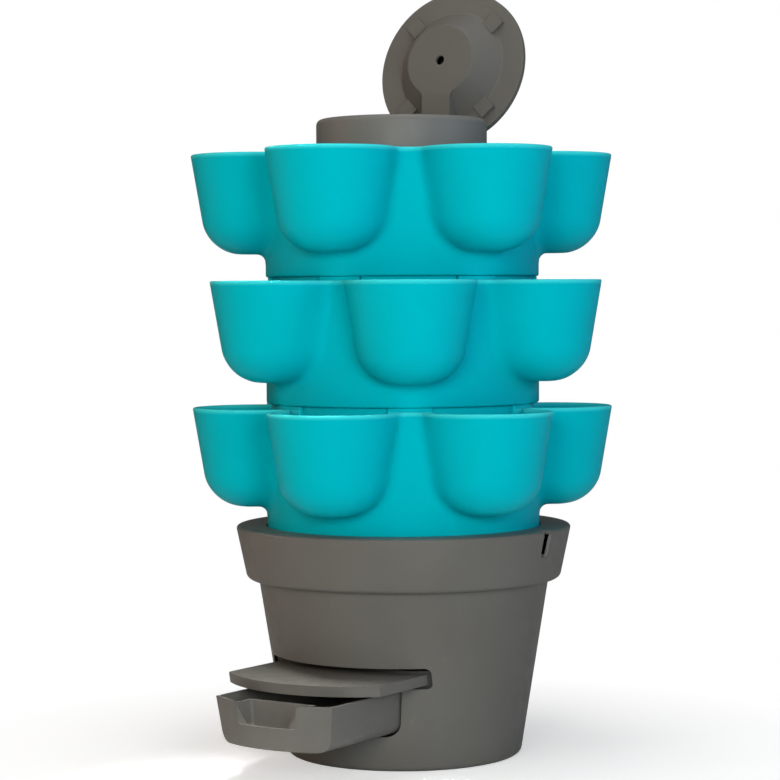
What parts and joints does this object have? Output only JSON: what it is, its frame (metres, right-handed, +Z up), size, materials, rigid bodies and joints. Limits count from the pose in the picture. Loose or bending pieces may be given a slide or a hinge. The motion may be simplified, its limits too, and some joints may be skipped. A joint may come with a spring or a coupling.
{
  "type": "vertical planter tower",
  "caption": "Vertical planter tower: stacked tiers of planting cups round a perforated compost column, on a pot-shaped base with outlet gate and drawer, under a collar with a hinged lid.",
  "frame": {"origin": "on the tower's axis, on the ground under the base pot", "axes": "+Z up the tower, -Y the way the drawer and the gate pull out, +X to the right seen from the front"},
  "size_m": [0.6012, 0.6444, 1.1109],
  "materials": {
    "teal_plastic": "satin",
    "grey_plastic": "satin",
    "inner_plastic": "matt",
    "pin_steel": "bright"
  },
  "bodies": {
    "base": {"base_pot": "grey_plastic", "gate_shelf": "inner_plastic", "outlet_plate": "inner_plastic", "column_foot": "inner_plastic", "drawer_runner_left": "inner_plastic", "drawer_runner_right": "inner_plastic"},
    "stack": {"drain_deck": "inner_plastic", "column_lower": "inner_plastic", "column_middle": "inner_plastic", "column_upper": "inner_plastic"},
    "tier_bottom": {"tier_bottom": "teal_plastic"},
    "tier_middle": {"tier_middle": "teal_plastic"},
    "tier_top": {"tier_top": "teal_plastic"},
    "collar": {"collar": "grey_plastic", "hinge_pin": "pin_steel"},
    "lid": {"lid": "grey_plastic"},
    "drawer": {"drawer": "grey_plastic"},
    "gate": {"outlet_gate": "grey_plastic"}
  },
  "joints": [
    {"name": "stack_turn", "type": "hinge", "parent": "base", "child": "stack", "pos_m": [0, 0, 0.325], "axis": [0, 0, 1], "continuous": true},
    {"name": "bottom_tier_lift", "type": "slide", "parent": "stack", "child": "tier_bottom", "axis": [0, 0, 1], "range_m": [0, 0.024]},
    {"name": "middle_tier_lift", "type": "slide", "parent": "tier_bottom", "child": "tier_middle", "axis": [0, 0, 1], "range_m": [0, 0.024]},
    {"name": "top_tier_lift", "type": "slide", "parent": "tier_middle", "child": "tier_top", "axis": [0, 0, 1], "range_m": [0, 0.024]},
    {"name": "collar_lift", "type": "slide", "parent": "stack", "child": "collar", "axis": [0, 0, 1], "range_m": [0, 0.045]},
    {"name": "lid_hinge", "type": "hinge", "parent": "collar", "child": "lid", "pos_m": [-0.00648, 0.10911, 0.8933], "axis": [0.9982, 0.0593, 0], "range_deg": [0, 103.4]},
    {"name": "drawer_slide", "type": "slide", "parent": "base", "child": "drawer", "axis": [0, -1, 0], "range_m": [-0.162, 0.05]},
    {"name": "gate_slide", "type": "slide", "parent": "base", "child": "gate", "axis": [0, -1, 0], "range_m": [-0.111, 0.05]}
  ]
}
